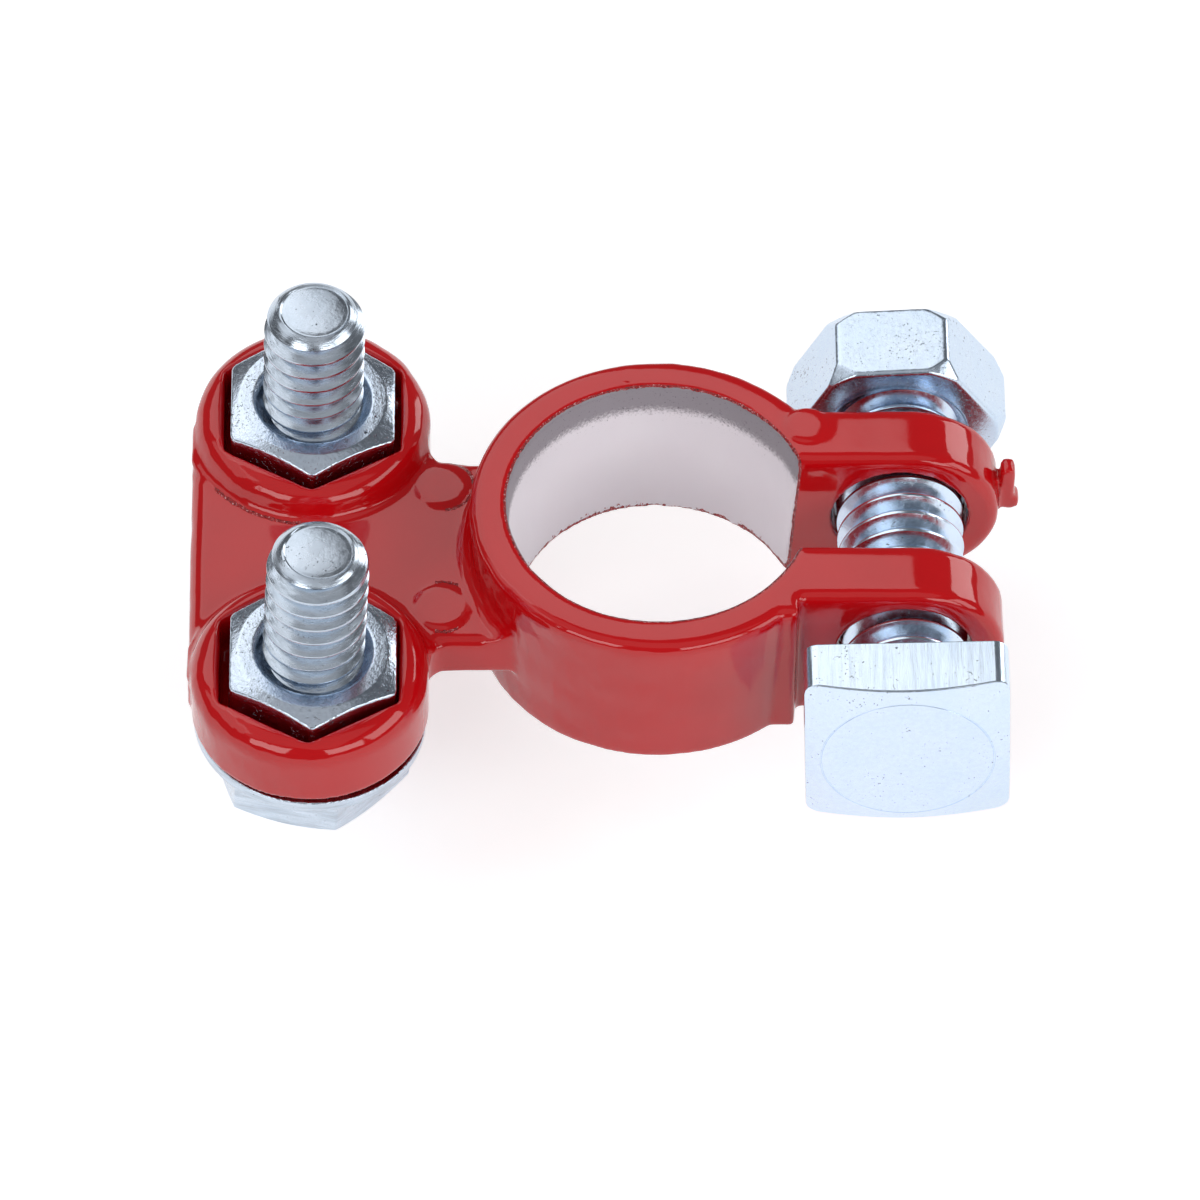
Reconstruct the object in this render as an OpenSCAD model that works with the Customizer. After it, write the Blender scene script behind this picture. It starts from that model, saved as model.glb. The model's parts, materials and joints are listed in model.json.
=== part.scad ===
// Battery terminal clamp for a tapered battery post: a coated die casting with a
// split collar, two ears drawn together by a square-headed bolt, and a neck with
// two hexagon pockets whose captive nuts take the cable bolts.
// It is drawn as it lies in the hand, with the wide end of the bore up. The origin is
// on the post's axis at the narrow face of the collar, +X runs out along the ears,
// and the cable bolts stand on the other side.

/* [Collar] */
// Height of the collar along the post
collar_h = 11; // [9.5:0.5:12]
// Radius of the straight land at the narrow end of the bore
bore_r = 8.65; // [8.2:0.05:9]
// Height of that straight land
land_h = 2; // [1:0.25:3]
// Change of the bore's diameter for each millimetre of height above the land
bore_taper = 0.111; // [0.08:0.001:0.14]
// Thickness of the wall at the wide end
collar_wall = 2.4; // [2:0.05:2.6]
// Draft of the collar's outer wall, in degrees
collar_draft = 1.5; // [0:0.25:2]
// Radius of the rounded edges of the collar and the ears
edge_round = 0.7; // [0.4:0.1:0.9]

/* [Ears] */
// Width of the slot between the ears
ear_gap = 6.4; // [5.5:0.1:7.5]
// Thickness of each ear
ear_t = 4.4; // [3.8:0.05:4.6]
// Distance from the post's axis to the end of the ears
ear_reach = 21.1; // [20.5:0.1:22]
// Distance from the post's axis to the clamp bolt's axis
clamp_x = 14.95; // [14.5:0.05:15.5]
// Radius of the clearance hole for the clamp bolt
clamp_hole_r = 4.15; // [4.05:0.05:4.3]
// How far the stop for the square head stands out from the post's axis
stop_y = 8.9; // [8.6:0.1:9.2]
// How far along the ear the stop for the square head reaches
stop_x = 8.4; // [8:0.05:8.4]

/* [Neck and bosses] */
// Height of the underside of the neck above the collar's narrow face
neck_z = 3.4; // [3:0.1:4]
// Thickness of the neck
neck_t = 2.95; // [2.4:0.05:3.2]
// How far the neck's end stands out past the bosses
neck_over = 0.2; // [0:0.1:0.6]
// Half the width of the neck
neck_half = 7.25; // [6.5:0.05:7.4]
// Distance from the post's axis to the bosses' centres
boss_x = 21.2; // [20.5:0.1:22]
// Distance between the bosses' centres
boss_pitch = 19.8; // [19.4:0.1:20.4]
// Radius of each boss
boss_r = 7.3; // [7.1:0.05:7.5]
// Height of each boss above the underside of the neck
boss_h = 4.85; // [4.4:0.05:5.2]
// Radius of the round edge on top of each boss
boss_round = 1.65; // [1:0.05:1.7]
// Width of the hexagon pocket across its flats
pocket_af = 10.8; // [10.6:0.05:10.9]
// Thickness of the floor under each pocket
pocket_floor = 1.8; // [1.6:0.1:2.2]
// Radius of the clearance hole through each floor
cable_hole_r = 3.5; // [3.4:0.05:3.8]

/* [Clamp bolt and nut] */
// Radius of the clamp bolt's thread
clamp_r = 3.9; // [3.7:0.05:3.95]
// Pitch of the clamp bolt's thread
clamp_pitch = 1.411; // [1:0.001:1.5]
// Width of the square head
head_w = 12.4; // [12:0.1:12.7]
// Greatest thickness of the square head
head_t = 3.8; // [3.5:0.1:4.8]
// Gap between the square head and the front ear
head_gap = 3.95; // [2:0.05:5]
// Turn of the square head in its stop, in degrees
head_turn = 1.8; // [0:0.1:2]
// Distance from the underside of the square head to the end of the bolt
clamp_len = 25.5; // [24:0.5:27]
// Width of the clamp nut across its flats
clamp_nut_af = 11.9; // [11.5:0.1:12.7]
// Thickness of the clamp nut
clamp_nut_t = 5.3; // [4.5:0.1:6]
// Gap between the clamp nut and the back ear
clamp_nut_gap = 2.25; // [1:0.05:4]
// Turn of the clamp nut about its thread, in degrees
clamp_nut_turn = 4; // [0:1:59]

/* [Cable bolts, washers and nuts] */
// Radius of the cable bolts' thread
cable_r = 3.1; // [2.9:0.05:3.15]
// Pitch of the cable bolts' thread
cable_pitch = 1.27; // [0.9:0.01:1.4]
// Height of the front bolt's end above the collar's narrow face
front_top = 18.4; // [16:0.1:20]
// Height of the back bolt's end above the collar's narrow face
back_top = 17.4; // [16:0.1:20]
// Lean of the front bolt in its clearance hole, in degrees
front_lean = 2.9; // [0:0.1:3]
// Lean of the back bolt in its clearance hole, in degrees
back_lean = 1.8; // [0:0.1:3]
// How far the front bolt stands from its boss's centre, towards the collar
front_shift = 0.2; // [0:0.05:0.2]
// Width of the hexagon heads across their flats
hex_af = 11.1; // [10:0.1:11.1]
// Thickness of the hexagon heads
hex_t = 3.7; // [3:0.1:4.5]
// Turn of the hexagon heads, in degrees
hex_turn = -14; // [-30:1:30]
// Radius of the washers under the bosses
washer_r = 7.1; // [6.5:0.05:7.6]
// Thickness of the washers
washer_t = 0.8; // [0.5:0.1:1]
// Width of the captive nuts across their flats
cable_nut_af = 10.1; // [9.9:0.05:10.2]
// Thickness of the captive nuts
cable_nut_t = 3.7; // [3:0.1:4]

/* [Hidden] */

coat = "firebrick";
zinc = "lightsteelblue";
round_fn = 96;
arc_steps = 5;
overcut = 1;

// A thread is drawn as one closed ring for each turn, with the depth and the flat crest
// given here as shares of its pitch. Under its first ring a shank is plain and narrower
thread_depth = 0.61;
thread_crest = 0.125;
flank_deg = 30;
plain_step = 0.2;
// Running clearance between a thread's crests and the bore of its nut
thread_gap = 0.04;
// Slope of the chamfers on nuts and hexagon heads
chamfer_deg = 30;

clamp_z = collar_h / 2;
ear_in = ear_gap / 2;
ear_out = ear_in + ear_t;
ear_end_x = ear_reach - collar_h / 2;
bore_top_r = bore_r + (collar_h - land_h) * bore_taper / 2;
collar_top_r = bore_top_r + collar_wall;
collar_base_r = collar_top_r - collar_h * tan(collar_draft);

neck_top = neck_z + neck_t;
neck_end = boss_x + boss_r + neck_over;
boss_y = boss_pitch / 2;
boss_top = neck_z + boss_h;
pocket_z = neck_z + pocket_floor;
foot_fillet = 1.2;
boss_fillet = 0.6;

// Ejector pin pads: two on the neck and one on the root of the back ear
pad_h = 0.3;
pad_top_r = 1.25;
neck_pads = [[-13.2, 5.2], [-13.2, -4.4]];
neck_pad_r = 1.85;
ear_pad = [9.2, 6.1];
ear_pad_r = 1.45;

// The cable bolts lean about the middle of their captive nuts, which clear the
// pocket's floor by the drop of their lower side. Heights along them are counted
// from there
nut_lift = 0.3;
pivot_z = pocket_z + nut_lift + cable_nut_t / 2;
nut_top = cable_nut_t / 2;
// Gap between the neck's underside and the washer, which leans with its bolt
washer_gap = 0.45;
washer_top = neck_z - pivot_z - washer_gap;
washer_base = washer_top - washer_t;
// The hexagon head stops just short of the washer that it carries
head_top = washer_base - 0.02;

// Points along an arc about (x, y), from angle a0 to angle a1
function arc(x, y, r, a0, a1, n = arc_steps) =
    [for (i = [0:n]) [x + r * cos(a0 + (a1 - a0) * i / n), y + r * sin(a0 + (a1 - a0) * i / n)]];

// A rectangle from (x0, y0) to (x1, y1) whose corners are rounded by r
function round_rect(x0, y0, x1, y1, r) = concat(
    arc(x1 - r, y0 + r, r, -90, 0),
    arc(x1 - r, y1 - r, r, 0, 90),
    arc(x0 + r, y1 - r, r, 90, 180),
    arc(x0 + r, y0 + r, r, 180, 270));

// Puts a profile drawn in Y and Z along the X axis, from x0 to x1
module along_x(x0, x1) {
    translate([x0, 0, 0])
        rotate([90, 0, 90])
            linear_extrude(height = x1 - x0)
                children();
}

// Turns a body of revolution from the Z axis to the line of the clamp bolt,
// with its upper end towards +Y
module on_clamp_axis() {
    translate([clamp_x, 0, clamp_z])
        rotate([-90, 0, 0])
            children();
}

// Hexagon prism whose ends are turned to a cone: flat_r is the radius left flat
module turned_hexagon(af, t, flat_r, both = true) {
    depth = (af / sqrt(3) - flat_r) * tan(chamfer_deg);
    intersection() {
        cylinder(r = af / sqrt(3), h = t, $fn = 6);
        rotate_extrude($fn = round_fn)
            polygon([
                [0, 0],
                [both ? flat_r : flat_r + depth / tan(chamfer_deg), 0],
                [flat_r + depth / tan(chamfer_deg), both ? depth : 0],
                [flat_r + depth / tan(chamfer_deg), t - depth],
                [flat_r, t],
                [0, t]]);
    }
}

// Plain bore of a nut, with a countersink to sink_r at both ends
module nut_bore(r, t, sink_r) {
    rotate_extrude($fn = round_fn)
        polygon([
            [0, -overcut],
            [sink_r + overcut, -overcut],
            [r, sink_r - r],
            [r, t - sink_r + r],
            [sink_r + overcut, t + overcut],
            [0, t + overcut]]);
}

// Shank of a bolt, from its start inside the head up to its chamfered end. Its rings of
// thread begin with the first crest above low
module threaded_shank(r, pitch, start, low, end, chamfer) {
    root_r = r - thread_depth * pitch;
    crest = thread_crest * pitch;
    flank = (r - root_r) * tan(flank_deg);
    last = end - chamfer - crest;
    turns = floor((last - low) / pitch);
    first = last - turns * pitch;
    rotate_extrude($fn = round_fn)
        polygon(concat(
            [[0, start], [r - plain_step, start], [r - plain_step, first]],
            [for (z = [for (i = [0:turns - 1]) first + i * pitch])
                each [[r, z], [r, z + crest], [root_r, z + crest + flank], [root_r, z + pitch - flank]]],
            [[r, last], [r, last + crest], [r - chamfer, end], [0, end]]));
}

// Outside of the collar, solid, with its rounded upper edge
module collar_outside() {
    rotate_extrude($fn = round_fn)
        polygon(concat(
            [[0, 0]],
            arc(collar_base_r - edge_round / 2, edge_round / 2, edge_round / 2, -90, 0),
            arc(collar_top_r - edge_round, collar_h - edge_round, edge_round, 0, 90),
            [[0, collar_h]]));
}

// The tapered bore with its short land and rounded mouth
module post_bore() {
    lip = edge_round * 0.35;
    rotate_extrude($fn = round_fn)
        polygon(concat(
            [[0, -overcut], [bore_r, -overcut], [bore_r, land_h]],
            arc(bore_top_r + lip, collar_h - lip, lip, 180, 90),
            [[bore_top_r + lip, collar_h + overcut], [0, collar_h + overcut]]));
}

// One ear: a bar out of the collar that ends in a half disc with rounded rims
module ear() {
    along_x(collar_top_r / 2, ear_end_x)
        polygon(round_rect(ear_in, 0, ear_out, collar_h, edge_round));
    translate([ear_end_x, ear_out, clamp_z])
        rotate([90, 0, 0])
            rotate_extrude($fn = round_fn)
                polygon(concat(
                    [[0, 0]],
                    arc(collar_h / 2 - edge_round, edge_round, edge_round, -90, 0),
                    arc(collar_h / 2 - edge_round, ear_t - edge_round, edge_round, 0, 90),
                    [[0, ear_t]]));
}

// Upright fillet in the corner between the collar and the back ear
module ear_root() {
    r = collar_top_r - edge_round;
    y = ear_out - edge_round;
    fillet_x = sqrt(pow(r + foot_fillet, 2) - pow(y + foot_fillet, 2));
    fillet_a = atan2(y + foot_fillet, fillet_x);
    translate([0, 0, edge_round / 2])
        linear_extrude(height = collar_h - edge_round / 2)
            polygon(concat(
                [[fillet_x, ear_in]],
                [[collar_top_r / 2, ear_in]],
                arc(fillet_x, y + foot_fillet, foot_fillet, 180 + fillet_a, 270)));
}

// The step beside the front ear that keeps the square head from turning
module head_stop() {
    corner_round = 0.35;
    foot_round = 0.35;
    intersection() {
        linear_extrude(height = collar_h)
            polygon(concat(
                [[stop_x / 2, -ear_in], [stop_x / 2, -stop_y]],
                arc(stop_x - corner_round, -stop_y + corner_round, corner_round, -90, 0),
                [[stop_x, -ear_in]]));
        along_x(0, stop_x)
            polygon(concat(
                [[0, 0], [0, collar_h]],
                arc(-stop_y + edge_round, collar_h - edge_round, edge_round, 90, 180),
                arc(-stop_y + foot_round, foot_round, foot_round, 180, 270)));
    }
}

// The slot, whose upper and lower edges are rounded as far as the collar reaches
module slot() {
    r = edge_round;
    along_x(0, collar_top_r)
        polygon(concat(
            [[ear_in + r, -overcut]],
            arc(ear_in + r, r, r, 270, 180),
            arc(ear_in + r, collar_h - r, r, 180, 90),
            [[ear_in + r, collar_h + overcut], [-ear_in - r, collar_h + overcut]],
            arc(-ear_in - r, collar_h - r, r, 90, 0),
            arc(-ear_in - r, r, r, 0, -90),
            [[-ear_in - r, -overcut]]));
}

// One side of the neck's outline, from the collar out to the end: fillets at the
// collar and at the boss, whose centres lie beyond the straight edge
function neck_side() =
    let (
        collar_fx = sqrt(pow(collar_base_r + foot_fillet, 2) - pow(neck_half + foot_fillet, 2)),
        collar_a = atan2(neck_half + foot_fillet, collar_fx),
        dy = boss_y - neck_half - foot_fillet,
        boss_dx = sqrt(pow(boss_r + foot_fillet, 2) - dy * dy),
        boss_a = atan2(dy, boss_dx))
    concat(
        [[0, 0], [0, neck_half]],
        arc(-collar_fx, neck_half + foot_fillet, foot_fillet, -collar_a, -90),
        arc(boss_dx - boss_x, neck_half + foot_fillet, foot_fillet, 270, 180 - boss_a),
        [[-boss_x, boss_y], [-neck_end, boss_y], [-neck_end, 0]]);

// Outline of the neck seen from above
module neck_outline() {
    polygon(neck_side());
    mirror([0, 1])
        polygon(neck_side());
}

// The neck's plate, with rounded long edges and a rounder far edge
module neck_plate() {
    end_round = 1.3;
    intersection() {
        union() {
            along_x(-neck_end, 0)
                polygon(round_rect(-neck_half, neck_z, neck_half, neck_top, edge_round));
            translate([0, 0, neck_z])
                linear_extrude(height = neck_t - edge_round * 0.6)
                    neck_outline();
            translate([-neck_end, -boss_y, neck_z])
                cube([boss_r, boss_pitch, neck_t]);
        }
        translate([0, boss_pitch, 0])
            rotate([90, 0, 0])
                linear_extrude(height = boss_pitch * 2)
                    polygon(concat(
                        [[0, neck_z], [0, neck_top]],
                        arc(-neck_end + end_round, neck_top - end_round, end_round, 90, 180),
                        [[-neck_end, neck_z]]));
    }
}

// Places a boss's features: side is -1 in front and 1 behind
module on_boss(side) {
    translate([-boss_x, side * boss_y, 0])
        children();
}

// Keeps the part of its children that stands on the neck
module on_neck() {
    intersection() {
        translate([0, 0, neck_z])
            linear_extrude(height = collar_h - neck_z)
                neck_outline();
        union()
            children();
    }
}

// Concave fillet of radius f around a round wall of radius r, standing at height z
module round_fillet(r, f, z) {
    translate([0, 0, z])
        rotate_extrude($fn = round_fn)
            polygon(concat(
                [[r - f, -f], [r + f, -f], [r + f, 0]],
                arc(r + f, f, f, 270, 180),
                [[r - f, f]]));
}

// One boss, solid, with its big round upper edge
module boss_outside() {
    rotate_extrude($fn = round_fn)
        polygon(concat(
            [[0, neck_z], [boss_r, neck_z]],
            arc(boss_r - boss_round, boss_top - boss_round, boss_round, 0, 90, 8),
            [[0, boss_top]]));
}

// Hexagon pocket for the captive nut and the clearance hole under it
module boss_pocket() {
    mouth = 0.35;
    corner_r = pocket_af / sqrt(3);
    rotate([0, 0, 30]) {
        translate([0, 0, pocket_z])
            cylinder(r = corner_r, h = boss_h, $fn = 6);
        translate([0, 0, boss_top - mouth])
            cylinder(r1 = corner_r, r2 = corner_r + 2 * mouth, h = 2 * mouth, $fn = 6);
    }
    translate([0, 0, neck_z - overcut])
        cylinder(r = cable_hole_r, h = boss_h, $fn = round_fn);
}

// Ejector pin pad: a low frustum that runs on down to base_r
module pad(base_r) {
    translate([0, 0, -pad_h])
        cylinder(r1 = 2 * base_r - pad_top_r, r2 = pad_top_r, h = 2 * pad_h, $fn = 48);
}

// Scrap of the gate left on the end of the back ear: a fin that stands clear of
// the ear above its stem, and a foot
module gate_scrap() {
    fin_t = 1;
    fin_w = 0.95;
    fin_top = 8.15;
    foot_r = 0.62;
    foot_z = 5;
    stem_top = 5.9;
    translate([ear_reach, (ear_in + ear_out + fin_t) / 2, 0])
        rotate([90, 0, 0])
            linear_extrude(height = fin_t) {
                translate([-edge_round, foot_z - foot_r * 0.8])
                    square([edge_round + fin_w / 2, stem_top - foot_z + foot_r * 0.8]);
                translate([0, foot_z])
                    square([fin_w, fin_top - fin_w / 2 - foot_z]);
                translate([fin_w / 2, fin_top - fin_w / 2])
                    circle(d = fin_w, $fn = 24);
                translate([fin_w - foot_r / 2, foot_z])
                    circle(r = foot_r, $fn = 24);
            }
}

module clamp_casting() {
    color(coat)
        difference() {
            union() {
                collar_outside();
                ear();
                mirror([0, 1, 0])
                    ear();
                ear_root();
                head_stop();
                neck_plate();
                on_neck()
                    round_fillet(collar_top_r - 0.1, foot_fillet, neck_top);
                for (side = [-1, 1]) {
                    on_boss(side)
                        boss_outside();
                    on_neck()
                        on_boss(side)
                            round_fillet(boss_r, boss_fillet, neck_top);
                }
                for (p = neck_pads)
                    on_neck()
                        translate([p[0], p[1], neck_top])
                            pad(neck_pad_r);
                translate([ear_pad[0], ear_pad[1], collar_h])
                    pad(ear_pad_r);
                gate_scrap();
            }
            post_bore();
            slot();
            on_clamp_axis()
                cylinder(r = clamp_hole_r, h = 4 * ear_out, center = true, $fn = round_fn);
            for (side = [-1, 1])
                on_boss(side)
                    boss_pocket();
        }
}

// Square-headed clamp bolt: the head's face is a low cone round a flat disc
module clamp_bolt() {
    face_r = 5.25;
    corner_r = head_w * 0.68;
    corner_t = head_t - 0.5;
    corner_round = 1;
    under = ear_out + head_gap;
    color(zinc)
        on_clamp_axis() {
            threaded_shank(clamp_r, clamp_pitch, -under - head_t / 2, -under - clamp_pitch,
                clamp_len - under, 0.8);
            mirror([0, 0, 1])
                rotate([0, 0, -head_turn])
                    translate([0, 0, under])
                        intersection() {
                            linear_extrude(height = head_t)
                                polygon(round_rect(-head_w / 2, -head_w / 2,
                                    head_w / 2, head_w / 2, corner_round));
                            rotate_extrude($fn = round_fn)
                                polygon([[0, 0], [corner_r, 0], [corner_r, corner_t],
                                    [face_r, head_t], [0, head_t]]);
                        }
        }
}

module clamp_nut() {
    face_r = clamp_nut_af * 0.446;
    color(zinc)
        on_clamp_axis()
            translate([0, 0, ear_out + clamp_nut_gap])
                rotate([0, 0, -clamp_nut_turn])
                    difference() {
                        turned_hexagon(clamp_nut_af, clamp_nut_t, face_r);
                        nut_bore(clamp_r + thread_gap, clamp_nut_t, clamp_r + 0.5);
                    }
}

// Places what hangs on a cable bolt: side is -1 in front and 1 behind, and the
// children are drawn about the middle of the nut
module on_cable_axis(side, lean, shift) {
    translate([shift, 0, pivot_z])
        on_boss(side)
            rotate([0, lean, 0])
                children();
}

// Hexagon-headed cable bolt, whose end stands at the height top
module cable_bolt(side, lean, shift, top) {
    face_r = hex_af * 0.45;
    color(zinc)
        on_cable_axis(side, lean, shift) {
            threaded_shank(cable_r, cable_pitch, head_top - hex_t / 2, nut_top,
                top - pivot_z, 0.75);
            translate([0, 0, head_top])
                mirror([0, 0, 1])
                    rotate([0, 0, hex_turn])
                        turned_hexagon(hex_af, hex_t, face_r, both = false);
        }
}

module cable_washer(side, lean, shift) {
    color(zinc)
        on_cable_axis(side, lean, shift)
            translate([0, 0, washer_base])
                difference() {
                    cylinder(r = washer_r, h = washer_t, $fn = round_fn);
                    translate([0, 0, -overcut])
                        cylinder(r = cable_r + 0.2, h = washer_t + 2 * overcut, $fn = round_fn);
                }
}

module cable_nut(side, lean, shift) {
    face_r = cable_nut_af * 0.47;
    color(zinc)
        on_cable_axis(side, lean, shift)
            translate([0, 0, -cable_nut_t / 2])
                rotate([0, 0, 30])
                    difference() {
                        turned_hexagon(cable_nut_af, cable_nut_t, face_r);
                        nut_bore(cable_r + thread_gap, cable_nut_t, cable_r + 0.5);
                    }
}

clamp_casting();
clamp_bolt();
clamp_nut();
cable_bolt(-1, front_lean, front_shift, front_top);  // cable_bolt_front
cable_bolt(1, back_lean, 0, back_top);  // cable_bolt_back
cable_washer(-1, front_lean, front_shift);  // cable_washer_front
cable_washer(1, back_lean, 0);  // cable_washer_back
cable_nut(-1, front_lean, front_shift);  // cable_nut_front
cable_nut(1, back_lean, 0);  // cable_nut_back
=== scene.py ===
import json
import math

import bpy
from mathutils import Matrix, Vector


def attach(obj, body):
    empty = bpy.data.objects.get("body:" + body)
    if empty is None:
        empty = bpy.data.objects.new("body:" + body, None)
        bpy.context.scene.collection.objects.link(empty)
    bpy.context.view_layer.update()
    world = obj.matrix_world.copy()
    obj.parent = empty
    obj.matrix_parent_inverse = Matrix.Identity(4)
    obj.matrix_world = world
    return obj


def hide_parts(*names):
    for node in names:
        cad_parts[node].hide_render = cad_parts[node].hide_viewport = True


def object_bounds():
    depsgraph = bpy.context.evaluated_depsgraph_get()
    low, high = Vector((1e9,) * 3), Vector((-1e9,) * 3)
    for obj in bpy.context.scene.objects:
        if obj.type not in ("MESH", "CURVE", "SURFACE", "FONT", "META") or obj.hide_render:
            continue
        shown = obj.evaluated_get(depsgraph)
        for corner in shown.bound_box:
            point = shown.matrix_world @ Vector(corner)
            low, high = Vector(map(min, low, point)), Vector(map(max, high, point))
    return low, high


# Looks of the battery terminal clamp. Pieces are modelled in millimetres, each in
# its own upright frame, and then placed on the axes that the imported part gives.

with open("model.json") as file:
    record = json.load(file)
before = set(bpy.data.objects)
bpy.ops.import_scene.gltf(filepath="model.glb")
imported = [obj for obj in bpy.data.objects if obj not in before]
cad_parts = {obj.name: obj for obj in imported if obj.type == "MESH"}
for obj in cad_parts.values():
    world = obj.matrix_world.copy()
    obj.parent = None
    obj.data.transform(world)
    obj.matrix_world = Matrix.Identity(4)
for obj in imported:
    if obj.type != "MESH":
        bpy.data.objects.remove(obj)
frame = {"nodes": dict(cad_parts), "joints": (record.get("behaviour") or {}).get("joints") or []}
cad_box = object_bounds()

MM = 0.001

# Camera: a long lens, looking down at the clamp from its square head's side
VIEW_ELEVATION = 50.9
VIEW_AZIMUTH = 0.8
VIEW_ROLL = 0.5
VIEW_DISTANCE = 0.62
VIEW_TARGET = Vector((0, 0, 0.011))
TARGET_PX = (658.2, 501.8)
IMAGE_PX = 1200
FOCAL_PX = 10180
SENSOR_MM = 36

# Threads, in millimetres: the pitch of 1/4 inch and 5/16 inch coarse threads, the
# depth as a share of the pitch, and how many steps make one turn
CABLE_PITCH = 25.4 / 20
CLAMP_PITCH = 25.4 / 18
THREAD_DEPTH = 0.61
THREAD_STEPS = 72

# Cable bolts, their washers and their captive nuts, in millimetres. Heights are
# counted along the bolt from the middle of its captive nut. AF is the width across
# the flats, FACE_R the radius outside which the corners are turned off at SLOPE
# degrees, and EDGE how far the corners are rounded. The washer lies a hair's breadth
# above the head. BOLT_DROP is how far the bolts can be let down, and a little more
CABLE_R = 3.1
HEX_AF = 11.1
HEX_T = 3.7
HEX_TURN = -14
HEX_TOP = -5.22
HEX_FACE_R = 0.45 * HEX_AF
HEX_SLOPE = 30
HEX_EDGE = 0.12
FRONT_END = 11.05
BACK_END = 10.05
BOLT_DROP = 5.05
WASHER_R = 7.1
WASHER_T = 0.8
WASHER_BASE = -5.2
WASHER_HOLE_R = 3.3
CAPTIVE_AF = 10.1
CAPTIVE_T = 3.7
CAPTIVE_TURN = 30
CAPTIVE_FACE_R = 0.45 * CAPTIVE_AF
CAPTIVE_SLOPE = 25
CAPTIVE_EDGE = 0.3

# Clamp bolt and its nut, in millimetres, counted from the middle of the clamp towards
# the back. The square head's face is a low cone round a flat disc with a groove
CLAMP_R = 3.9
CLAMP_UNDER_HEAD = -11.55
CLAMP_END = 13.95
SQUARE_W = 12.4
SQUARE_T = 4.1
SQUARE_TURN = -1.8
SQUARE_CORNER_R = 0.9
SQUARE_EDGE = 0.12
SQUARE_FACE_R = 5.25
SQUARE_FACE_DROP = 0.95
GROOVE_R = 0.06
CLAMP_NUT_AF = 11.9
CLAMP_NUT_T = 5.3
CLAMP_NUT_BASE = 9.85
CLAMP_NUT_TURN = -4
CLAMP_NUT_FACE_R = 0.525 * CLAMP_NUT_AF
CLAMP_NUT_SLOPE = 60
CLAMP_NUT_EDGE = 0.25

# Hexagons and nuts, in millimetres: how far the upper face is crowned, how deep and
# wide the countersinks are, and how much wider than the bolt the thread is cut
CROWN = 0.05
SINK = 0.55
TAP_ROOM = 0.06

# Skins, in millimetres: the size of the facets that a piece is made anew from, the
# share of them that is kept, and the size and depth of the hollows in them
CLAMP_NUT_FACET = 0.1
CAPTIVE_FACET = 0.09
WASHER_FACET = 0.1
FASTENER_SHARE = 0.4
FASTENER_SMOOTHING = 2
FASTENER_DENTS = (1.2, 0.015)
CASTING_FACET = 0.16
CASTING_SHARE = 0.55
CASTING_SMOOTHING = 8
CASTING_DENTS = (5, 0.02)

# The casting's skin is drawn in by INSET, so that it stays inside the solid where its
# walls wander to and fro, over stretches of about WANDER_SIZE
INSET = 0.045
WANDER_SIZE = 2.2
WANDER = 0.12

# The casting's bore, which is bare, and the ragged end of the coat at its rims, in
# millimetres: how far past the wall it ends, how much it frays, and the lip that it
# leaves at the narrow rim, to the right of LIP_X. A dark band starts at about BAND_Z
BORE_R = 8.65
BORE_TAPER = 0.111
COAT_EDGE = 0.1
FRAY = 0.16
TEAR_W = 0.07
LIP = 0.5
LIP_X = -4
BAND_Z = 9
BAND_FRAY = 1.6

# Creases in the coat on the neck, drawn as torn specks that are partly painted shade and painted
# glints: arcs above SCAR_Z, given by a centre, a radius, and the span of X that they run over
SCAR_W = 0.1
SCAR_FRAY = 0.3
SCAR_Z = 6
COAT_SCARS = [
    ((-21.2, 9.9), 7.75, (-27.2, -21)),
    ((-13.2, 5.2), 1.95, (-13, -11)),
    ((-13.2, -4.4), 1.95, (-13.6, -12.2))]

# Ejector pin pads: where their tops rise from, how wide they are, and how much of
# their height shows under the coat
PADS = [(-13.2, 5.2, 6.35), (-13.2, -4.4, 6.35), (9.2, 6.1, 11)]
PAD_R = 1.4
PAD_SHARE = 0.5

# The gate's scrap on the end of the back ear: its foot, and how much it is widened
SCRAP = (21.2, 5.4, 6.5)
SCRAP_STRETCH = (1.06, 1.35, 1)


# Modelling

def deselect():
    if bpy.context.object and bpy.context.object.mode != "OBJECT":
        bpy.ops.object.mode_set(mode="OBJECT")
    bpy.ops.object.select_all(action="DESELECT")


def take(obj):
    """Selects one object alone and makes it active."""
    deselect()
    obj.select_set(True)
    bpy.context.view_layer.objects.active = obj


def modify(obj, kind, **settings):
    """Adds a modifier and applies it."""
    take(obj)
    modifier = obj.modifiers.new(kind.lower(), kind)
    for key, value in settings.items():
        setattr(modifier, key, value)
    bpy.ops.object.modifier_apply(modifier=modifier.name)
    return obj


def turned(name, stations, vertices=96):
    """A solid of revolution: a disc at the first station, extruded and scaled to
    each (height, radius) after it."""
    deselect()
    z0, r0 = stations[0]
    bpy.ops.mesh.primitive_circle_add(
        vertices=vertices, radius=r0, fill_type="NGON", location=(0, 0, z0))
    obj = bpy.context.object
    obj.name = name
    bpy.ops.object.transform_apply()
    bpy.ops.object.mode_set(mode="EDIT")
    bpy.ops.mesh.select_all(action="SELECT")
    for (za, ra), (zb, rb) in zip(stations, stations[1:]):
        bpy.ops.mesh.extrude_region_move(TRANSFORM_OT_translate={"value": (0, 0, zb - za)})
        bpy.ops.transform.resize(value=(rb / ra, rb / ra, 1), center_override=(0, 0, zb))
    bpy.ops.mesh.select_all(action="SELECT")
    bpy.ops.mesh.normals_make_consistent(inside=False)
    bpy.ops.object.mode_set(mode="OBJECT")
    return obj


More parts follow.
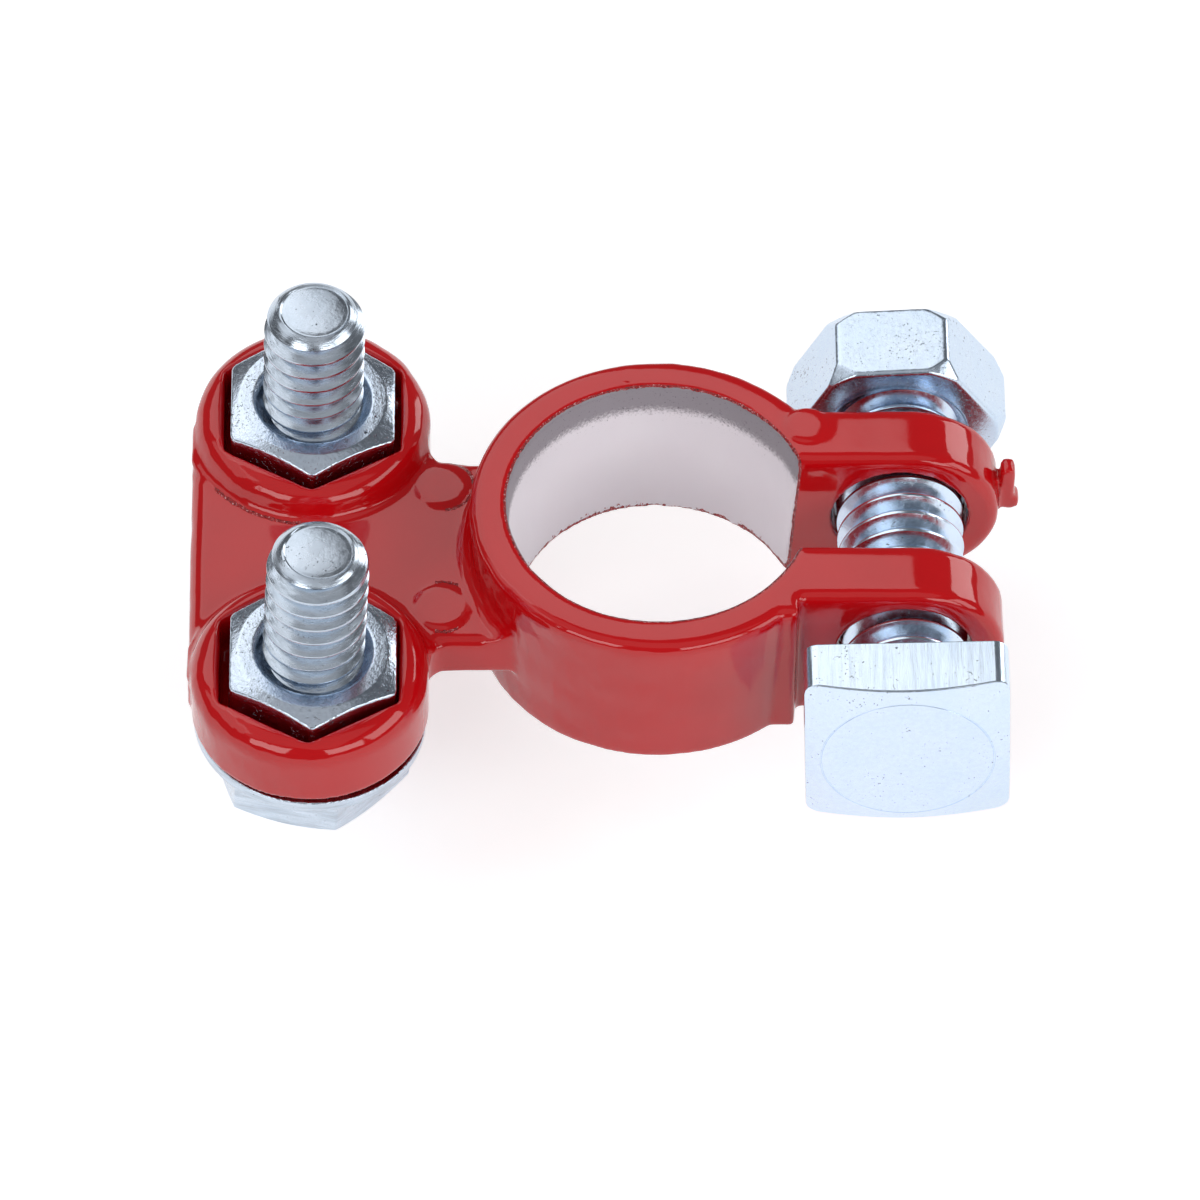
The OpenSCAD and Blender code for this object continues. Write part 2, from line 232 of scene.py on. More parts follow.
def prism(name, corners, r, z0, z1, turn):
    """An upright prism on a regular polygon whose corners lie at the radius r."""
    deselect()
    bpy.ops.mesh.primitive_cylinder_add(
        vertices=corners, radius=r, depth=z1 - z0, location=(0, 0, (z0 + z1) / 2),
        rotation=(0, 0, math.radians(turn)))
    obj = bpy.context.object
    obj.name = name
    bpy.ops.object.transform_apply()
    return obj


def round_edges(obj, width, segments, sharper_than):
    return modify(obj, "BEVEL", width=width, segments=segments, limit_method="ANGLE",
                  angle_limit=math.radians(sharper_than))


def cut(obj, tool, operation):
    """Boolean of obj with a tool that is then thrown away."""
    modify(obj, "BOOLEAN", object=tool, operation=operation, solver="EXACT")
    bpy.data.objects.remove(tool)
    return obj


def threaded(name, r, pitch, z0, z1):
    """A right-hand threaded rod: one pitch of the thread's outline is extruded from
    a single vertex, screwed up the rod, and cut off flat at both ends."""
    depth = THREAD_DEPTH * pitch
    crest = pitch / 8
    root = pitch / 5
    flank = (pitch - crest - root) / 2
    # From the middle of the root up one flank to the middle of the crest, with a small
    # rounding at the root and at the crest
    outline = [
        (0, root / 2), (depth * 0.12, flank * 0.06), (depth * 0.76, flank * 0.8),
        (depth * 0.1, flank * 0.12), (depth * 0.02, flank * 0.02 + crest / 2)]
    steps = outline + [(-dr, dz) for dr, dz in reversed(outline)]
    start = z0 - pitch
    deselect()
    bpy.ops.mesh.primitive_plane_add(size=pitch, location=(r - depth, 0, start))
    obj = bpy.context.object
    obj.name = name
    bpy.ops.object.transform_apply()
    bpy.ops.object.mode_set(mode="EDIT")
    bpy.ops.mesh.select_mode(type="VERT")
    bpy.ops.mesh.select_all(action="SELECT")
    bpy.ops.mesh.merge(type="CENTER")
    for dr, dz in steps:
        bpy.ops.mesh.extrude_vertices_move(TRANSFORM_OT_translate={"value": (dr, 0, dz)})
    bpy.ops.object.mode_set(mode="OBJECT")
    turns = math.ceil((z1 - z0) / pitch) + 2
    modify(obj, "SCREW", axis="Z", screw_offset=pitch, iterations=turns,
           steps=THREAD_STEPS, render_steps=THREAD_STEPS)
    take(obj)
    bpy.ops.object.mode_set(mode="EDIT")
    bpy.ops.mesh.select_all(action="SELECT")
    bpy.ops.mesh.remove_doubles(threshold=pitch / 1000)
    for z, up in ((z0, -1), (z1, 1)):
        bpy.ops.mesh.select_all(action="SELECT")
        bpy.ops.mesh.bisect(plane_co=(0, 0, z), plane_no=(0, 0, up), use_fill=True,
                            clear_outer=True, threshold=pitch / 10000)
    bpy.ops.mesh.select_all(action="SELECT")
    bpy.ops.mesh.normals_make_consistent(inside=False)
    bpy.ops.object.mode_set(mode="OBJECT")
    return obj


def uneven(obj, size, depth, direction="NORMAL", still=0.7):
    """Shifts a surface by a cloudy pattern of that size. Where the pattern has the
    value still, nothing moves: few of its clouds are brighter than 0.7, which gives
    hollows, and half of them than 0.5, which gives a wander to and fro."""
    dents = bpy.data.textures.new("dents", "CLOUDS")
    dents.noise_scale = size
    modify(obj, "DISPLACE", texture=dents, strength=depth, direction=direction,
           mid_level=still)


def stretch(obj, chosen, scale, centre):
    """Scales the vertices that chosen picks by their place, about a centre."""
    take(obj)
    bpy.ops.object.mode_set(mode="EDIT")
    bpy.ops.mesh.select_mode(type="VERT")
    bpy.ops.mesh.select_all(action="DESELECT")
    bpy.ops.object.mode_set(mode="OBJECT")
    for vertex in obj.data.vertices:
        vertex.select = chosen(vertex.co)
    bpy.ops.object.mode_set(mode="EDIT")
    bpy.ops.transform.resize(value=scale, center_override=centre)
    bpy.ops.object.mode_set(mode="OBJECT")


def soften(obj, name, facet, share, smoothing, dents):
    """Gives a solid one closed skin with softened and slightly uneven faces, and thins
    it to that share of its facets."""
    obj.name = name
    modify(obj, "REMESH", mode="VOXEL", voxel_size=facet, use_smooth_shade=True)
    modify(obj, "SMOOTH", factor=0.5, iterations=smoothing)
    uneven(obj, *dents)
    modify(obj, "DECIMATE", ratio=share)
    return obj


def place(obj, matrix, body, node):
    """Takes a piece from its own frame in millimetres to the part's frame."""
    obj.matrix_world = matrix @ Matrix.Scale(MM, 4)
    take(obj)
    bpy.ops.object.transform_apply()
    obj.data.name = obj.name
    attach(obj, body)
    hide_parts(node)
    return obj


# Places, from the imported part's joints

joints = {joint["name"]: joint for joint in frame["joints"]}


def upright_on(joint_name):
    """The frame of a cable bolt: its pivot, and Z along its leaning axis."""
    joint = joints[joint_name]
    axis = Vector(joint["axis"]).normalized()
    side = Vector((0, 1, 0))
    across = side.cross(axis).normalized()
    turn = Matrix((across, side, axis)).transposed().to_4x4()
    return Matrix.Translation(Vector(joint["pos_m"])) @ turn


def along_clamp():
    """The frame of the clamp bolt: Z along it, away from the square head, and Y down."""
    x, _, z = joints["clamp_nut_turn"]["pos_m"]
    return Matrix.Translation((x, 0, z)) @ Matrix.Rotation(math.radians(-90), 4, "X")


# Pieces

def hexagon(name, af, z0, z1, turn, face_r, slope, edge):
    """A hexagon whose corners are turned off at that slope outside face_r."""
    corner_r = af / math.sqrt(3)
    drop = (corner_r - face_r) * math.tan(math.radians(slope))
    obj = round_edges(prism(name, 6, corner_r, z0, z1, 30 + turn), edge, 3, 30)
    blank = turned("blank", [
        (z0, face_r), (z0 + drop, corner_r), (z1 - CROWN - drop, corner_r),
        (z1 - CROWN, face_r), (z1, face_r * 0.75)])
    return cut(obj, blank, "INTERSECT")


def stud(name, r, pitch, z0, z1):
    """A threaded shank with a rounded, slightly cupped end."""
    obj = threaded(name, r, pitch, z0, z1)
    # The rod, its rolled-over end, a low ring, and the shallow cup inside the ring
    blank = turned("blank", [
        (z0 - 1, r + 0.02), (z1 - 1.3, r + 0.02), (z1 - 0.75, r - 0.18), (z1 - 0.35, r - 0.5),
        (z1 - 0.08, r - 0.8), (z1 - 0.01, r - 0.95), (z1 - 0.1, r - 1.07), (z1 - 0.1, r - 1.2),
        (z1 - 0.04, r - 1.4), (z1 - 0.03, 0.4)])
    return cut(obj, blank, "INTERSECT")


def nut(name, af, t, turn, face_r, slope, edge, r, pitch, z0, facet):
    """A hexagon nut with a threaded and countersunk hole."""
    past = 0.5
    obj = hexagon(name, af, z0, z0 + t, turn, face_r, slope, edge)
    cut(obj, threaded("tap", r + TAP_ROOM, pitch, z0 - past, z0 + t + past), "DIFFERENCE")
    for z, way in ((z0, 1), (z0 + t, -1)):
        cone = turned("sink", [
            (z - way * past, r + SINK + past), (z + way * (SINK + 0.6), r - 0.6)])
        cut(obj, cone, "DIFFERENCE")
    return soften(obj, name, facet, FASTENER_SHARE, FASTENER_SMOOTHING, FASTENER_DENTS)


def headed(head, shank, name):
    """One bolt of a head and the shank that runs into it, with crisp threads."""
    obj = cut(head, shank, "UNION")
    obj.name = name
    take(obj)
    bpy.ops.object.shade_smooth_by_angle(angle=math.radians(25))
    return modify(obj, "WEIGHTED_NORMAL", keep_sharp=True)


def cable_bolt(name, end):
    head = hexagon("head", HEX_AF, HEX_TOP - HEX_T, HEX_TOP, HEX_TURN, HEX_FACE_R, HEX_SLOPE,
                   HEX_EDGE)
    shank = stud("shank", CABLE_R, CABLE_PITCH, HEX_TOP - HEX_T / 2, end)
    return headed(head, shank, name)


def washer(name):
    obj = turned(name, [(WASHER_BASE, WASHER_R), (WASHER_BASE + WASHER_T, WASHER_R)])
    hole = turned("hole", [(WASHER_BASE - 1, WASHER_HOLE_R), (WASHER_BASE + 2, WASHER_HOLE_R)])
    cut(obj, hole, "DIFFERENCE")
    return soften(obj, name, WASHER_FACET, FASTENER_SHARE, FASTENER_SMOOTHING, FASTENER_DENTS)


def clamp_bolt(name):
    under = CLAMP_UNDER_HEAD
    top = under - SQUARE_T
    head = prism("head", 4, SQUARE_W / math.sqrt(2), top, under, 45 + SQUARE_TURN)
    take(head)
    bpy.ops.object.mode_set(mode="EDIT")
    bpy.ops.mesh.select_mode(type="EDGE")
    bpy.ops.mesh.select_all(action="DESELECT")
    bpy.ops.object.mode_set(mode="OBJECT")
    for edge in head.data.edges:
        a, b = (head.data.vertices[i].co for i in edge.vertices)
        edge.select = abs(a.z - b.z) > SQUARE_T / 2
    bpy.ops.object.mode_set(mode="EDIT")
    bpy.ops.mesh.bevel(offset=SQUARE_CORNER_R, segments=4)
    bpy.ops.object.mode_set(mode="OBJECT")
    # The face is a low cone, and a fine groove runs round the flat disc in its middle
    blank = turned("blank", [
        (top, SQUARE_FACE_R), (top + SQUARE_FACE_DROP, SQUARE_W * 0.68),
        (under, SQUARE_W * 0.7)])
    round_edges(cut(head, blank, "INTERSECT"), SQUARE_EDGE, 2, 40)
    deselect()
    bpy.ops.mesh.primitive_torus_add(
        major_radius=SQUARE_FACE_R, minor_radius=GROOVE_R, major_segments=96,
        minor_segments=8, location=(0, 0, top))
    groove = bpy.context.object
    bpy.ops.object.transform_apply()
    cut(head, groove, "DIFFERENCE")
    shank = stud("shank", CLAMP_R, CLAMP_PITCH, under - 1, CLAMP_END)
    return headed(head, shank, name)


def casting(name):
    """The casting under its coat: a merged copy of the solid, given one thick skin
    that rounds every edge as the coat does."""
    deselect()
    obj = frame["nodes"]["clamp_casting"].copy()
    obj.data = obj.data.copy()
    obj.parent = None
    for key in list(obj.keys()):
        del obj[key]
    bpy.context.scene.collection.objects.link(obj)
    obj.matrix_world = Matrix.Scale(1 / MM, 4)
    take(obj)
    bpy.ops.object.transform_apply()
    bpy.ops.object.mode_set(mode="EDIT")
    bpy.ops.mesh.select_all(action="SELECT")
    bpy.ops.mesh.remove_doubles(threshold=0.001)
    bpy.ops.object.mode_set(mode="OBJECT")
    # The pads' tops, which the coat has half levelled
    for x, y, z in PADS:
        stretch(obj, lambda co: math.hypot(co.x - x, co.y - y) < PAD_R and co.z > z + 0.05,
                (1, 1, PAD_SHARE), (x, y, z))
    soften(obj, name, CASTING_FACET, CASTING_SHARE, CASTING_SMOOTHING, CASTING_DENTS)
    # The skin has thinned the gate's scrap
    stretch(obj, lambda co: co.x > SCRAP[0] - 0.1, SCRAP_STRETCH, SCRAP)
    # Upright walls and edges wander a little, while level faces stay true
    modify(obj, "DISPLACE", strength=-INSET, mid_level=0)
    for direction in ("X", "Y"):
        uneven(obj, WANDER_SIZE, WANDER, direction, 0.5)
    return obj


# Materials

def linear(code):
    """Linear colour from an sRGB hex value."""
    parts = [int(code[i:i + 2], 16) / 255 for i in (1, 3, 5)]
    return tuple(c / 12.92 if c < 0.04045 else ((c + 0.055) / 1.055) ** 2.4 for c in parts) + (1,)


# Sockets of a colour mix, by number
FACTOR, FIRST, SECOND = 0, 6, 7


def add(tree, kind, inputs=None, **settings):
    """Adds a node. inputs maps a socket to a value, or to the output that feeds it."""
    node = tree.nodes.new(kind)
    for key, value in settings.items():
        setattr(node, key, value)
    for key, value in (inputs or {}).items():
        if isinstance(value, bpy.types.NodeSocket):
            tree.links.new(value, node.inputs[key])
        else:
            node.inputs[key].default_value = value
    return node


def material(name):
    mat = bpy.data.materials.new(name)
    mat.use_nodes = True
    mat.node_tree.nodes.clear()
    return mat, mat.node_tree


def finish_with(obj, mat):
    obj.data.materials.clear()
    obj.data.materials.append(mat)


def per_mm(size):
    """Scale of a pattern whose features are that many millimetres across."""
    return 1 / (size * MM)


def red_coat():
    """Red powder coat, baked glossy: it flows round the edges and lies slightly wavy,
    so reflections end in uneven lines. The bore is masked off and left as the bare
    die-cast zinc: pale, matt, and darker and pitted below its wide rim. The zinc's
    grit is finer than the 0.16 mm that it is drawn at, which is as fine as shows."""
    mat, tree = material("red_powder_coat_on_die_cast_zinc")
    spot = add(tree, "ShaderNodeTexCoord").outputs["Object"]
    axes = add(tree, "ShaderNodeSeparateXYZ", {"Vector": spot}).outputs
    level = add(tree, "ShaderNodeCombineXYZ", {"X": axes["X"], "Y": axes["Y"]}).outputs[0]
    radius = add(tree, "ShaderNodeVectorMath", {0: level}, operation="LENGTH").outputs["Value"]
    ragged = add(tree, "ShaderNodeTexNoise", {
        "Vector": spot, "Scale": per_mm(0.35), "Detail": 4, "Roughness": 0.7}).outputs["Fac"]
    grit = add(tree, "ShaderNodeTexNoise", {
        "Vector": spot, "Scale": per_mm(0.16), "Detail": 3, "Roughness": 0.8}).outputs["Fac"]

    # Distance from the bore's wall, with the taper taken out and a ragged edge added
    straight = add(tree, "ShaderNodeMath", {0: axes["Z"], 1: -BORE_TAPER / 2, 2: radius},
                   operation="MULTIPLY_ADD").outputs[0]
    frayed = add(tree, "ShaderNodeMath", {0: ragged, 1: FRAY * MM, 2: straight},
                 operation="MULTIPLY_ADD").outputs[0]
    coat_edge = (BORE_R + COAT_EDGE + FRAY / 2) * MM
    bore = add(tree, "ShaderNodeMapRange", {
        "Value": frayed, "From Min": coat_edge - 0.02 * MM, "From Max": coat_edge + 0.02 * MM,
        "To Min": 1.0, "To Max": 0.0}).outputs[0]
    # The coat folds over the narrow rim as a thin lip, but not on the neck's side
    torn_z = add(tree, "ShaderNodeMath", {0: ragged, 1: -LIP * MM, 2: axes["Z"]},
                 operation="MULTIPLY_ADD").outputs[0]
    over_lip = add(tree, "ShaderNodeMath", {0: torn_z, 1: -LIP * 0.1 * MM},
                   operation="GREATER_THAN").outputs[0]
    neck_side = add(tree, "ShaderNodeMath", {0: axes["X"], 1: LIP_X * MM},
                    operation="LESS_THAN").outputs[0]
    uncovered = add(tree, "ShaderNodeMath", {0: over_lip, 1: neck_side},
                    operation="MAXIMUM").outputs[0]
    bare = add(tree, "ShaderNodeMath", {0: bore, 1: uncovered}, operation="MULTIPLY").outputs[0]

    # Bare zinc, with a darker band below the wide rim, and pits in and under the band
    band_z = add(tree, "ShaderNodeMath", {0: grit, 1: BAND_FRAY * MM, 2: axes["Z"]},
                 operation="MULTIPLY_ADD").outputs[0]
    band_start = BAND_Z + BAND_FRAY / 2
    band = add(tree, "ShaderNodeMapRange", {
        "Value": band_z, "From Min": (band_start - 0.45) * MM,
        "From Max": (band_start + 0.35) * MM}, interpolation_type="SMOOTHSTEP").outputs[0]
    cloud = add(tree, "ShaderNodeTexNoise", {
        "Vector": spot, "Scale": per_mm(5), "Detail": 2}).outputs["Fac"]
    wall = add(tree, "ShaderNodeMix", {
        FACTOR: cloud, FIRST: linear("#F2ECF2"), SECOND: linear("#FAF6FA")},
        data_type="RGBA").outputs[2]
    wall = add(tree, "ShaderNodeMix", {FACTOR: band, FIRST: wall, SECOND: linear("#9C969D")},
               data_type="RGBA").outputs[2]
    pits = add(tree, "ShaderNodeMapRange", {
        "Value": grit, "From Min": 0.62, "From Max": 0.68}).outputs[0]
    near_band = add(tree, "ShaderNodeMapRange", {
        "Value": axes["Z"], "From Min": (BAND_Z - 1.4) * MM,
        "From Max": (BAND_Z + 0.2) * MM}).outputs[0]
    pits = add(tree, "ShaderNodeMath", {0: pits, 1: near_band}, operation="MULTIPLY").outputs[0]
    wall = add(tree, "ShaderNodeMix", {FACTOR: pits, FIRST: wall, SECOND: linear("#5A5258")},
               data_type="RGBA").outputs[2]

    # The coat: a deep red, lighter where it is thin
    depth = add(tree, "ShaderNodeTexNoise", {
        "Vector": spot, "Scale": per_mm(3), "Detail": 3}).outputs["Fac"]
    red = add(tree, "ShaderNodeMix", {
        FACTOR: depth, FIRST: linear("#C20A10"), SECOND: linear("#CE0C14")},
        data_type="RGBA").outputs[2]
    scar = None
    above = add(tree, "ShaderNodeMath", {0: axes["Z"], 1: SCAR_Z * MM},
                operation="GREATER_THAN").outputs[0]
    for (x, y), r, (low, high) in COAT_SCARS:
        away = add(tree, "ShaderNodeVectorMath", {0: level, 1: (x * MM, y * MM, 0)},
                   operation="DISTANCE").outputs["Value"]
        off = add(tree, "ShaderNodeMath", {0: away, 1: r * MM}, operation="SUBTRACT").outputs[0]
        off = add(tree, "ShaderNodeMath", {0: ragged, 1: SCAR_FRAY * MM, 2: off},
                  operation="MULTIPLY_ADD").outputs[0]
        line = add(tree, "ShaderNodeMath", {0: off, 1: SCAR_FRAY / 2 * MM, 2: SCAR_W * MM},
                   operation="COMPARE").outputs[0]
        span = add(tree, "ShaderNodeMath", {
            0: axes["X"], 1: (low + high) / 2 * MM, 2: (high - low) / 2 * MM},
            operation="COMPARE").outputs[0]
        line = add(tree, "ShaderNodeMath", {0: line, 1: above}, operation="MULTIPLY").outputs[0]
        line = add(tree, "ShaderNodeMath", {0: line, 1: span}, operation="MULTIPLY").outputs[0]
        if scar:
            line = add(tree, "ShaderNodeMath", {0: scar, 1: line}, operation="MAXIMUM").outputs[0]
        scar = line
    # Where the coat is torn, its edge shows as dark, red and pale specks: the red ones are the
    # crust's own colour, the dark ones are painted shade under the raised, ragged crust, and the
    # pale ones are painted glints on it
    torn = add(tree, "ShaderNodeMath", {0: frayed, 1: coat_edge, 2: TEAR_W * MM},
               operation="COMPARE").outputs[0]
    torn = add(tree, "ShaderNodeMath", {0: torn, 1: scar}, operation="MAXIMUM").outputs[0]
    # The specks' colours: near-black painted shade, two reds of the crust, and a pale pink
    # painted glint
    torn_specks_painted_shade_and_glints = add(tree, "ShaderNodeValToRGB", {"Fac": grit})
    ramp = torn_specks_painted_shade_and_glints.color_ramp
    ramp.interpolation = "CONSTANT"
    for stop, code in zip((0.0, 0.4, 0.46, 0.6), ("#3A1216", "#8A1418", "#B0181C", "#E2B8BC")):
        mark = ramp.elements[0] if stop == 0.0 else ramp.elements.new(stop)
        mark.color = linear(code)
    ramp.elements.remove(ramp.elements[-1])

    colour = add(tree, "ShaderNodeMix", {FACTOR: bare, FIRST: red, SECOND: wall},
                 data_type="RGBA").outputs[2]
    colour = add(tree, "ShaderNodeMix", {
        FACTOR: torn, FIRST: colour, SECOND: torn_specks_painted_shade_and_glints.outputs["Color"]},
        data_type="RGBA").outputs[2]
    rough = add(tree, "ShaderNodeMapRange", {
        "Value": bare, "To Min": 0.07, "To Max": 0.5}).outputs[0]
    # Only a tenth metallic where it is bare, because the cast skin is matt and pale
    dull = add(tree, "ShaderNodeMath", {0: bare, 1: 0.1}, operation="MULTIPLY").outputs[0]
    wave = add(tree, "ShaderNodeTexNoise", {
        "Vector": spot, "Scale": per_mm(1.6), "Detail": 3, "Roughness": 0.45}).outputs["Fac"]
    smooth = add(tree, "ShaderNodeBump", {
        "Height": wave, "Strength": 1.0, "Distance": 0.004 * MM}).outputs[0]
    grain = add(tree, "ShaderNodeMath", {0: grit, 1: torn}, operation="MULTIPLY").outputs[0]
    bump = add(tree, "ShaderNodeBump", {
        "Height": grain, "Strength": 1.0, "Distance": 0.12 * MM, "Normal": smooth}).outputs[0]
    shader = add(tree, "ShaderNodeBsdfPrincipled", {
        "Base Color": colour, "Roughness": rough, "Metallic": dull, "IOR": 1.55, "Normal": bump})
    add(tree, "ShaderNodeOutputMaterial", {"Surface": shader.outputs["BSDF"]})
    return mat


def zinc_plate(name, sheens, streaks, pitting, gloss, relief, mottle):
    """Bright zinc plate with a blue passivate, on cold-formed steel: a bluish mirror
    softened by fine grain, with drawn streaks and small dark pits. sheens are its
    darkest and lightest colours, streaks gives how the grain is stretched along X, Y
    and Z, pitting how many of the pits show, gloss the least and greatest roughness,
    relief the depth of the grain in millimetres, and mottle how dark the grain gets.
    Real grain is finer than 0.3 mm, and is drawn at that so that it shows."""
    mat, tree = material(name)
    spot = add(tree, "ShaderNodeTexCoord").outputs["Object"]
    drawn = add(tree, "ShaderNodeMapping", {"Vector": spot, "Scale": streaks}).outputs[0]
    cloud = add(tree, "ShaderNodeTexNoise", {
        "Vector": spot, "Scale": per_mm(2.5), "Detail": 3}).outputs["Fac"]
    grain = add(tree, "ShaderNodeTexNoise", {
        "Vector": drawn, "Scale": per_mm(0.3), "Detail": 4, "Roughness": 0.65}).outputs["Fac"]
    specks = add(tree, "ShaderNodeTexNoise", {
        "Vector": spot, "Scale": per_mm(0.22), "Detail": 2, "Roughness": 0.8}).outputs["Fac"]
    patches = add(tree, "ShaderNodeMath", {0: cloud, 1: 0.35, 2: specks},
                  operation="MULTIPLY_ADD").outputs[0]
    pits = add(tree, "ShaderNodeMapRange", {
        "Value": patches, "From Min": 0.88 - pitting, "From Max": 0.92 - pitting}).outputs[0]
    sheen = add(tree, "ShaderNodeMix", {
        FACTOR: cloud, FIRST: linear(sheens[0]), SECOND: linear(sheens[1])},
        data_type="RGBA").outputs[2]
    fine = add(tree, "ShaderNodeMapRange", {
        "Value": grain, "From Min": 0.3, "From Max": 0.7, "To Min": mottle,
        "To Max": 1.0}).outputs[0]
    colour = add(tree, "ShaderNodeMix", {FACTOR: 1.0, FIRST: sheen, SECOND: fine},
                 data_type="RGBA", blend_type="MULTIPLY").outputs[2]
    colour = add(tree, "ShaderNodeMix", {FACTOR: pits, FIRST: colour, SECOND: linear("#59616C")},
                 data_type="RGBA").outputs[2]
    rough = add(tree, "ShaderNodeMapRange", {
        "Value": grain, "From Min": 0.3, "From Max": 0.7, "To Min": gloss[0],
        "To Max": gloss[1]}).outputs[0]
    scratch = add(tree, "ShaderNodeBump", {
        "Height": grain, "Strength": 1.0, "Distance": relief * MM}).outputs[0]
    bump = add(tree, "ShaderNodeBump", {
        "Height": pits, "Strength": 1.0, "Distance": 0.03 * MM, "Normal": scratch},
        invert=True).outputs[0]
    shader = add(tree, "ShaderNodeBsdfPrincipled", {
        "Base Color": colour, "Metallic": 1.0, "Roughness": rough, "Normal": bump})
    add(tree, "ShaderNodeOutputMaterial", {"Surface": shader.outputs["BSDF"]})
    return mat


# The object

coat = red_coat()
# Drawn square bar: bright, with straight streaks along the bolt
drawn_zinc = zinc_plate(
    "zinc_plate_on_square_head_bolt", ("#D2E4F8", "#DEEBF9"), (1, 0.08, 1), 0.0, (0.14, 0.28),
    0.008, 0.92)
# Forged nut: a little duller, with small pits and no direction
forged_zinc = zinc_plate(
    "zinc_plate_on_clamp_nut", ("#C8DAEE", "#D6E2F0"), (1, 1, 1), 0.03, (0.15, 0.3),
    0.012, 0.9)
# Rolled threads: scuffed round and round, so that they sparkle in level streaks
rolled_zinc = zinc_plate(
    "zinc_plate_on_cable_bolts", ("#CBDAEA", "#DCE6F2"), (0.12, 0.12, 1), 0.0, (0.12, 0.34),
    0.03, 0.65)
# Pressed nuts: glossy, dented and pitted, which gives sharp small glints
pressed_zinc = zinc_plate(
    "zinc_plate_on_captive_nuts", ("#C2D2E6", "#DEE8F4"), (1, 1, 1), 0.05, (0.06, 0.22),
    0.03, 0.85)

front = upright_on("front_bolt_turn")
back = upright_on("back_bolt_turn")
clamp_line = along_clamp()

pieces = [
    (casting("coated_casting"), Matrix.Identity(4), "casting", "clamp_casting", coat),
    (clamp_bolt("square_head_bolt"), clamp_line, "clamp_bolt", "clamp_bolt", drawn_zinc),
    (nut("hexagon_clamp_nut", CLAMP_NUT_AF, CLAMP_NUT_T, CLAMP_NUT_TURN, CLAMP_NUT_FACE_R,
         CLAMP_NUT_SLOPE, CLAMP_NUT_EDGE, CLAMP_R, CLAMP_PITCH, CLAMP_NUT_BASE,
         CLAMP_NUT_FACET),
     clamp_line, "clamp_nut", "clamp_nut", forged_zinc)]
for side, at, end in (("front", front, FRONT_END), ("back", back, BACK_END)):
    pieces += [
        (cable_bolt(side + "_hex_bolt", end), at, side + "_bolt", "cable_bolt_" + side,
         rolled_zinc),
        (washer(side + "_washer"), at, side + "_washer", "cable_washer_" + side,
         rolled_zinc),
        (nut(side + "_captive_nut", CAPTIVE_AF, CAPTIVE_T, CAPTIVE_TURN, CAPTIVE_FACE_R,
             CAPTIVE_SLOPE, CAPTIVE_EDGE, CABLE_R, CABLE_PITCH, -CAPTIVE_T / 2,
             CAPTIVE_FACET),
         at, "casting", "cable_nut_" + side, pressed_zinc)]
for obj, at, body, node, mat in pieces:
    place(obj, at, body, node)
    finish_with(obj, mat)


# Stage

# The table's own colour, and what is added to it where it is seen or mirrored
TABLE_COLOUR = (0.8, 0.8, 0.8, 1)
TABLE_GLOW = 0.55
STUDIO_COLOUR = (0.15, 0.15, 0.155, 1)

# Softboxes: centre and size in metres, and radiance. The level surfaces mirror the
# first one
SOFTBOXES = {
    "mirrored": ((-0.25, 0.39, 0.5), (0.6, 0.46), 1.35),
    "overhead": ((-0.1, -0.25, 0.85), (1.2, 0.9), 0.35),
    "left": ((-0.65, 0, 0.55), (0.5, 0.5), 0.9),
    "right": ((0.7, -0.25, 0.38), (0.5, 0.4), 2.6),
    "back_right": ((0.55, 0.47, 0.25), (0.3, 0.3), 3),
    "front_left": ((-0.45, -0.65, 0.42), (0.45, 0.35), 3.2),
    "front_right": ((0.4, -0.7, 0.38), (0.45, 0.35), 3.2)}


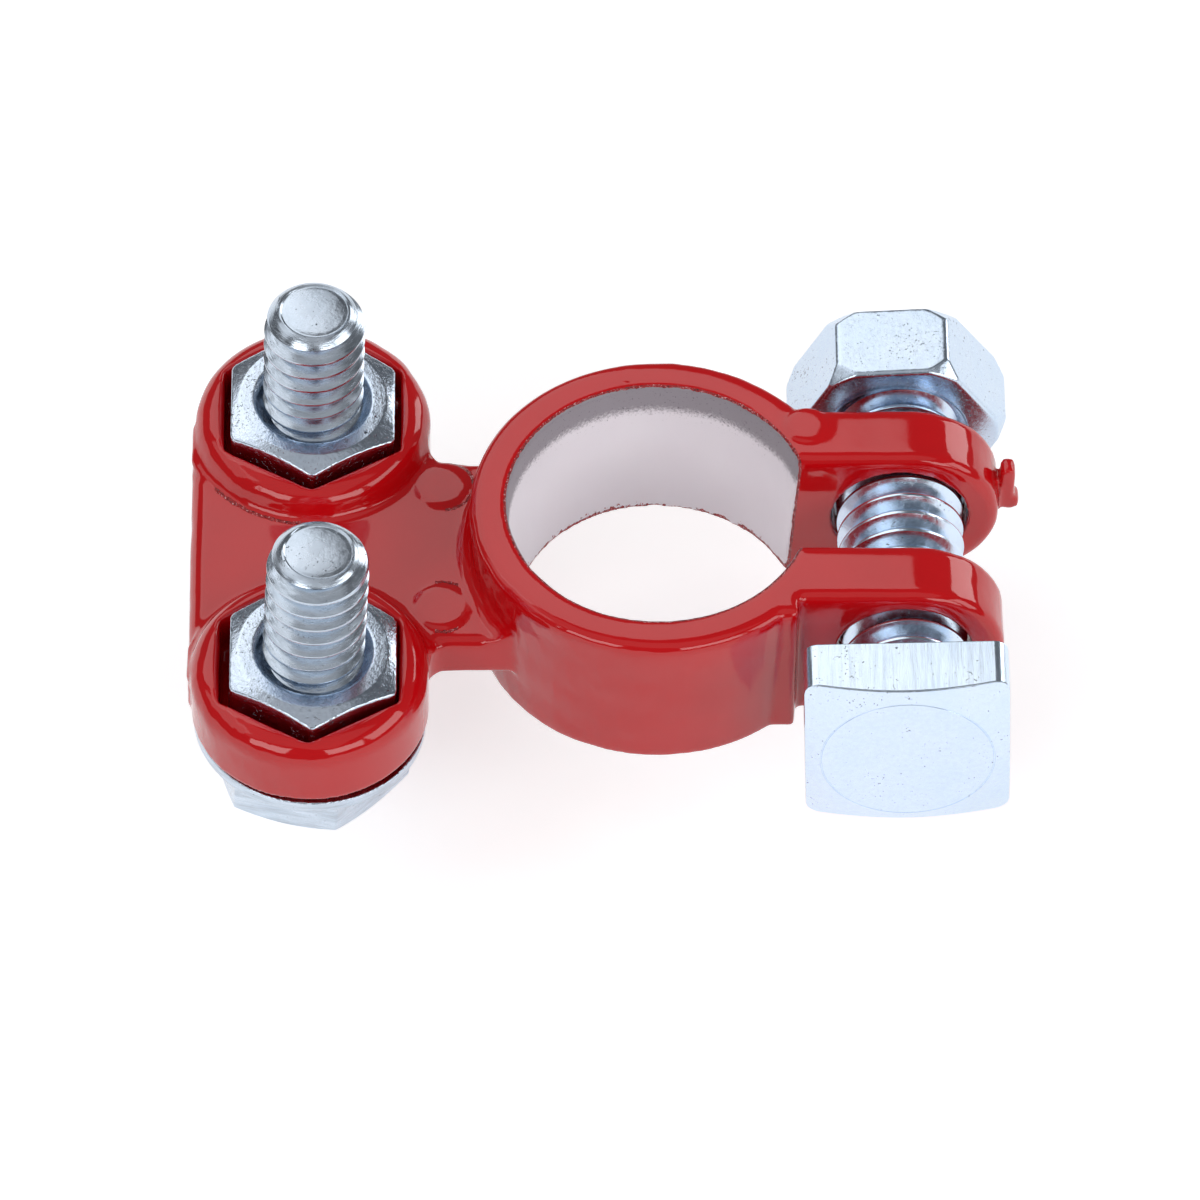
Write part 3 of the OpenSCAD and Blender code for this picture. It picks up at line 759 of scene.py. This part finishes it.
def camera():
    az = math.radians(VIEW_AZIMUTH)
    el = math.radians(VIEW_ELEVATION)
    roll = math.radians(VIEW_ROLL)
    ahead = Vector((math.sin(az) * math.cos(el), math.cos(az) * math.cos(el), -math.sin(el)))
    level = Vector((math.cos(az), -math.sin(az), 0))
    upright = level.cross(ahead)
    right = level * math.cos(roll) + upright * math.sin(roll)
    up = upright * math.cos(roll) - level * math.sin(roll)
    metres_per_px = VIEW_DISTANCE / FOCAL_PX
    aside = (TARGET_PX[0] - IMAGE_PX / 2) * metres_per_px
    below = (TARGET_PX[1] - IMAGE_PX / 2) * metres_per_px
    data = bpy.data.cameras.new("camera")
    data.sensor_width = SENSOR_MM
    data.lens = FOCAL_PX / IMAGE_PX * SENSOR_MM
    data.clip_start = 0.01
    obj = bpy.data.objects.new("camera", data)
    bpy.context.scene.collection.objects.link(obj)
    obj.matrix_world = Matrix.Translation(
        VIEW_TARGET - ahead * VIEW_DISTANCE - right * aside + up * below
    ) @ Matrix((right, up, -ahead)).transposed().to_4x4()
    bpy.context.scene.camera = obj


def softbox(name, centre, size, radiance):
    """A rectangular lamp that faces the object and gives that radiance."""
    data = bpy.data.lights.new(name, "AREA")
    data.shape = "RECTANGLE"
    data.size, data.size_y = size
    data.energy = radiance * math.pi * size[0] * size[1]
    obj = bpy.data.objects.new(name, data)
    bpy.context.scene.collection.objects.link(obj)
    toward = -Vector(centre)
    facing = toward.to_track_quat("-Z", "Y").to_matrix().to_4x4()
    obj.matrix_world = Matrix.Translation(centre) @ facing


def floor():
    """A white table that shows white to the camera and in reflections, and keeps a
    soft shadow. It lies low enough for the cable bolts to be let down."""
    deselect()
    low = cad_box[0][2] - BOLT_DROP * MM
    bpy.ops.mesh.primitive_plane_add(size=8, location=(0, 0, low))
    obj = bpy.context.object
    obj.name = "floor"
    bpy.ops.object.transform_apply()
    mat, tree = material("white_table")
    path = add(tree, "ShaderNodeLightPath").outputs
    seen = path["Is Camera Ray"]
    for other in ("Is Glossy Ray", "Is Transmission Ray"):
        seen = add(tree, "ShaderNodeMath", {0: seen, 1: path[other]},
                   operation="MAXIMUM").outputs[0]
    glow = add(tree, "ShaderNodeMath", {0: seen, 1: TABLE_GLOW}, operation="MULTIPLY").outputs[0]
    matt = add(tree, "ShaderNodeBsdfDiffuse", {"Color": TABLE_COLOUR})
    light = add(tree, "ShaderNodeEmission", {"Strength": glow})
    both = add(tree, "ShaderNodeAddShader", {0: matt.outputs[0], 1: light.outputs[0]})
    add(tree, "ShaderNodeOutputMaterial", {"Surface": both.outputs[0]})
    finish_with(obj, mat)


camera()
floor()
for name, (centre, size, radiance) in SOFTBOXES.items():
    softbox(name, centre, size, radiance)

world = bpy.data.worlds.new("studio")
bpy.context.scene.world = world
world.use_nodes = True
world.node_tree.nodes["Background"].inputs["Color"].default_value = STUDIO_COLOUR

bpy.context.scene.view_settings.view_transform = "Standard"
